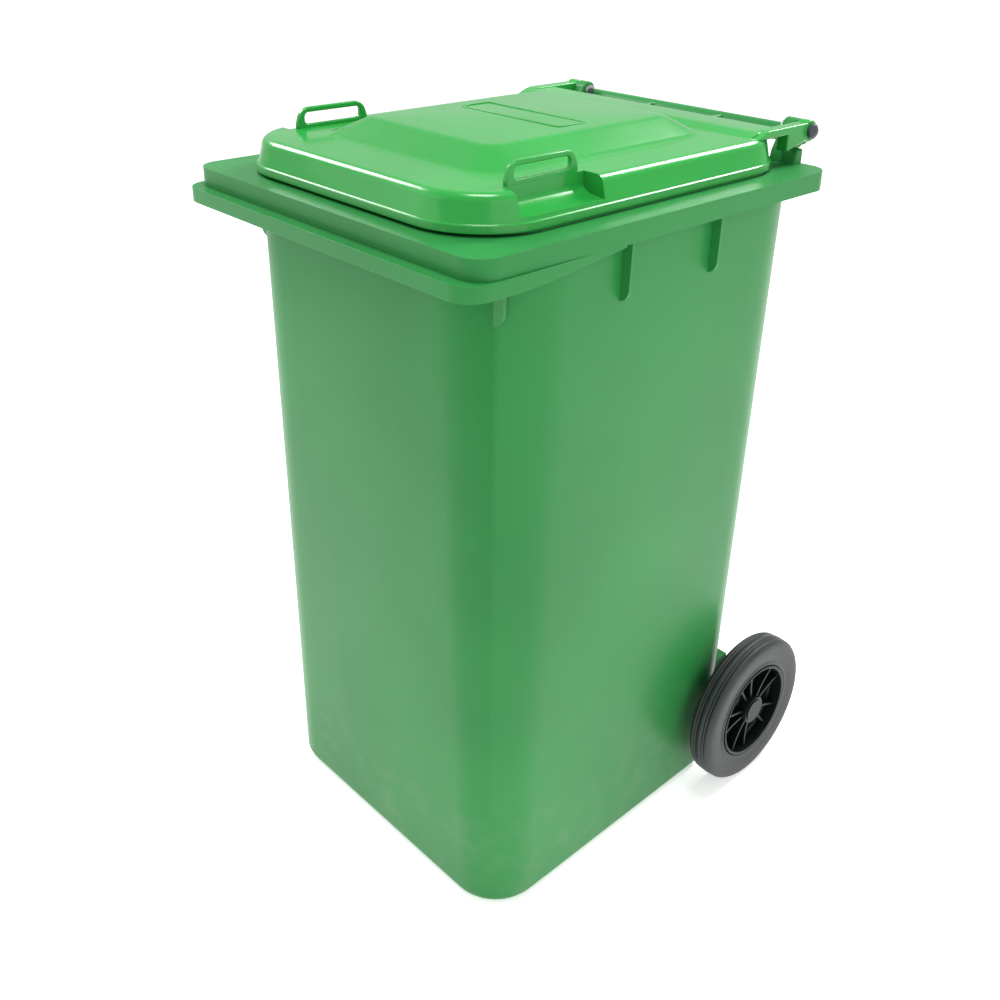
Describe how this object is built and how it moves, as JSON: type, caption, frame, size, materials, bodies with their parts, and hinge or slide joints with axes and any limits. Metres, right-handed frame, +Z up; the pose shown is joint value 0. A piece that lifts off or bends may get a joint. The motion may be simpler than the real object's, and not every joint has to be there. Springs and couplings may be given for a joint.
{
  "type": "wheelie bin",
  "caption": "Tall tapered plastic refuse bin with a comb lifting lip, a hinged domed lid with side handles, and rubber wheels on a steel axle.",
  "frame": {"origin": "centre of the footprint at ground level", "axes": "+X to the bin's right-hand side seen from behind the lip, along the axle; +Y towards the wheels, hinge and handle bar; +Z up"},
  "size_m": [0.646, 0.723, 1.073],
  "materials": {
    "tub_plastic": "satin moulded, fine texture",
    "lid_plastic": "smooth moulded gloss",
    "zinc_steel": "zinc plated",
    "pin_plastic": "moulded",
    "spring_steel": "bright",
    "spacer_plastic": "moulded",
    "tyre_rubber": "solid rubber",
    "bush_plastic": "low friction",
    "hub_plastic": "moulded"
  },
  "bodies": {
    "bin": {"body": "tub_plastic", "hinge_pin_left": "pin_plastic", "hinge_pin_right": "pin_plastic", "pin_clip_left": "spring_steel", "pin_clip_right": "spring_steel", "axle": "zinc_steel", "axle_spacer_left": "spacer_plastic", "axle_spacer_right": "spacer_plastic"},
    "lid": {"lid": "lid_plastic"},
    "wheel_left": {"wheel_hub_left": "hub_plastic", "tyre_left": "tyre_rubber", "hub_bush_left": "bush_plastic", "hub_cap_left": "hub_plastic", "lock_spring_left": "spring_steel"},
    "lock_left": {"lock_pin_left": "zinc_steel"},
    "wheel_right": {"wheel_hub_right": "hub_plastic", "tyre_right": "tyre_rubber", "hub_bush_right": "bush_plastic", "hub_cap_right": "hub_plastic", "lock_spring_right": "spring_steel"},
    "lock_right": {"lock_pin_right": "zinc_steel"}
  },
  "joints": [
    {"name": "lid_hinge", "type": "hinge", "parent": "bin", "child": "lid", "pos_m": [0, 0.3285, 1.042], "axis": [-1, 0, 0], "range_deg": [0, 271]},
    {"name": "wheel_left_spin", "type": "hinge", "parent": "bin", "child": "wheel_left", "pos_m": [-0.302, 0.2355, 0.125], "axis": [1, 0, 0], "continuous": true},
    {"name": "lock_left_slide", "type": "slide", "parent": "wheel_left", "child": "lock_left", "axis": [0, 0, 1], "range_m": [0, 0.003], "stiffness_N_per_m": 1500, "springref_m": -0.002, "deforming": ["lock_spring_left"]},
    {"name": "wheel_right_spin", "type": "hinge", "parent": "bin", "child": "wheel_right", "pos_m": [0.302, 0.2355, 0.125], "axis": [1, 0, 0], "continuous": true},
    {"name": "lock_right_slide", "type": "slide", "parent": "wheel_right", "child": "lock_right", "axis": [0, 0, 1], "range_m": [0, 0.003], "stiffness_N_per_m": 1500, "springref_m": -0.002, "deforming": ["lock_spring_right"]}
  ]
}
